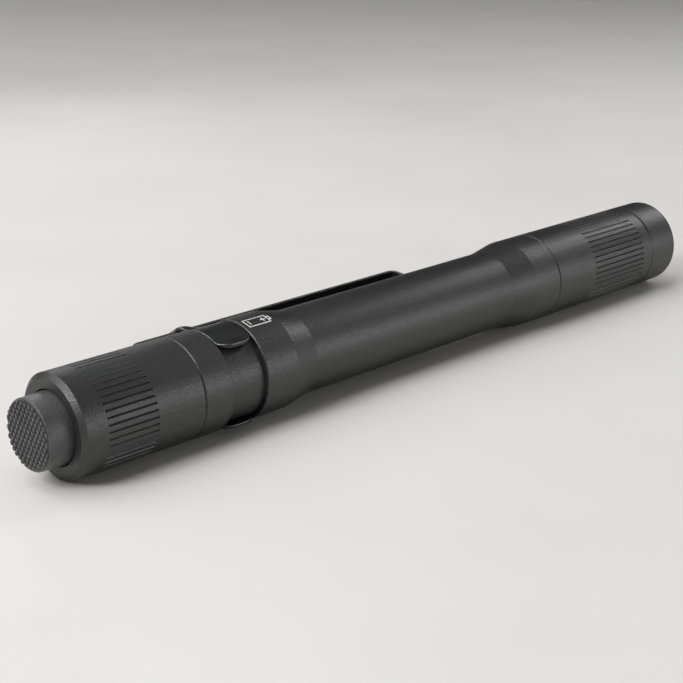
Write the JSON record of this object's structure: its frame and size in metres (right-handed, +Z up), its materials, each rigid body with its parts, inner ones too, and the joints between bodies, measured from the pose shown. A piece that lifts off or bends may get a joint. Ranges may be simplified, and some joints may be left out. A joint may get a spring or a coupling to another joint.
{
  "type": "penlight",
  "caption": "Slim black pocket torch with a rubber push button at its tail, a sprung pocket clip, grip grooves on the screwed tail cap and head, and a plain front bezel.",
  "frame": {"origin": "centre of the front rim's plane, on the torch's axis", "axes": "+X along the beam, +Y towards the clip's arm, +Z up with the torch lying level"},
  "size_m": [0.1336, 0.0179, 0.0146],
  "materials": {
    "anodised_body": "black hard-anodised, fine bead-blasted grain",
    "boot_rubber": "matt moulded silicone rubber",
    "seal_rubber": "greased seal rubber",
    "clip_steel": "black coated spring steel, satin",
    "brass_contact": "plain brass",
    "nickel_plate": "nickel-plated steel",
    "cell_jacket": "plain shrink sleeve",
    "dark_plastic": "moulded",
    "white_plastic": "moulded",
    "circuit_board": "solder mask over glass fibre",
    "chip_black": "moulded epoxy",
    "wire_red": "silicone insulation",
    "bare_aluminium": "turned",
    "led_ceramic": "white ceramic",
    "led_phosphor": "clear silicone over yellow phosphor",
    "reflector_mirror": "vacuum-plated smooth reflector",
    "lens_glass": "clear toughened glass"
  },
  "bodies": {
    "tube": {"battery_tube": "anodised_body", "rear_cell_can": "nickel_plate", "rear_cell_jacket": "cell_jacket", "rear_cell_nub": "nickel_plate", "front_cell_can": "nickel_plate", "front_cell_jacket": "cell_jacket", "front_cell_nub": "nickel_plate"},
    "rear_seal": {"rear_o_ring": "seal_rubber"},
    "tail_cap": {"tail_cap": "anodised_body", "boot_skirt": "boot_rubber", "boot_washer": "nickel_plate", "switch_cover": "dark_plastic", "return_spring": "nickel_plate", "switch_contacts": "brass_contact", "switch_housing": "dark_plastic", "switch_board": "circuit_board", "switch_ring": "brass_contact", "tail_spring": "brass_contact"},
    "button": {"boot_crown": "boot_rubber", "switch_plunger": "white_plastic", "contact_bridge": "brass_contact"},
    "front_seal": {"front_o_ring": "seal_rubber"},
    "head": {"head_shell": "anodised_body", "bezel": "anodised_body", "driver_ring": "brass_contact", "front_contact": "brass_contact", "driver_board": "circuit_board", "driver_parts": "chip_black", "heat_sink": "bare_aluminium", "led_leads": "wire_red", "led_board": "white_plastic", "led_package": "led_ceramic", "led_dome": "led_phosphor", "centering_ring": "white_plastic", "reflector": "reflector_mirror", "lens": "lens_glass", "lens_seal": "seal_rubber"},
    "clip": {"clip_ring": "clip_steel"},
    "clip_arm": {"clip_arm": "clip_steel"}
  },
  "joints": [
    {"name": "tail_cap_turn", "type": "hinge", "parent": "tube", "child": "rear_seal", "pos_m": [-0.11032, 0, 0], "axis": [-1, 0, 0], "range_deg": [0, 1440]},
    {"name": "tail_cap_travel", "type": "slide", "parent": "rear_seal", "child": "tail_cap", "axis": [-1, 0, 0], "range_m": [0, 0.0032]},
    {"name": "switch_press", "type": "slide", "parent": "tail_cap", "child": "button", "axis": [1, 0, 0], "range_m": [0, 0.0016], "stiffness_N_per_m": 2000, "springref_m": -0.001, "deforming": ["return_spring"]},
    {"name": "head_turn", "type": "hinge", "parent": "tube", "child": "front_seal", "pos_m": [-0.03382, 0, 0], "axis": [1, 0, 0], "range_deg": [0, 1440]},
    {"name": "head_travel", "type": "slide", "parent": "front_seal", "child": "head", "axis": [1, 0, 0], "range_m": [0, 0.0032]},
    {"name": "clip_swivel", "type": "hinge", "parent": "tube", "child": "clip", "pos_m": [-0.10242, 0, 0], "axis": [1, 0, 0], "continuous": true},
    {"name": "clip_flex", "type": "hinge", "parent": "clip", "child": "clip_arm", "pos_m": [-0.10832, 0.00924, 0], "axis": [0, 0, 1], "range_deg": [0, 4], "stiffness_Nm_per_rad": 4, "springref_deg": -1.15}
  ],
  "couplings": [
    {"joint": "tail_cap_turn", "follows": "tail_cap_travel", "rad_per_m": 7854},
    {"joint": "head_turn", "follows": "head_travel", "rad_per_m": 7854}
  ]
}
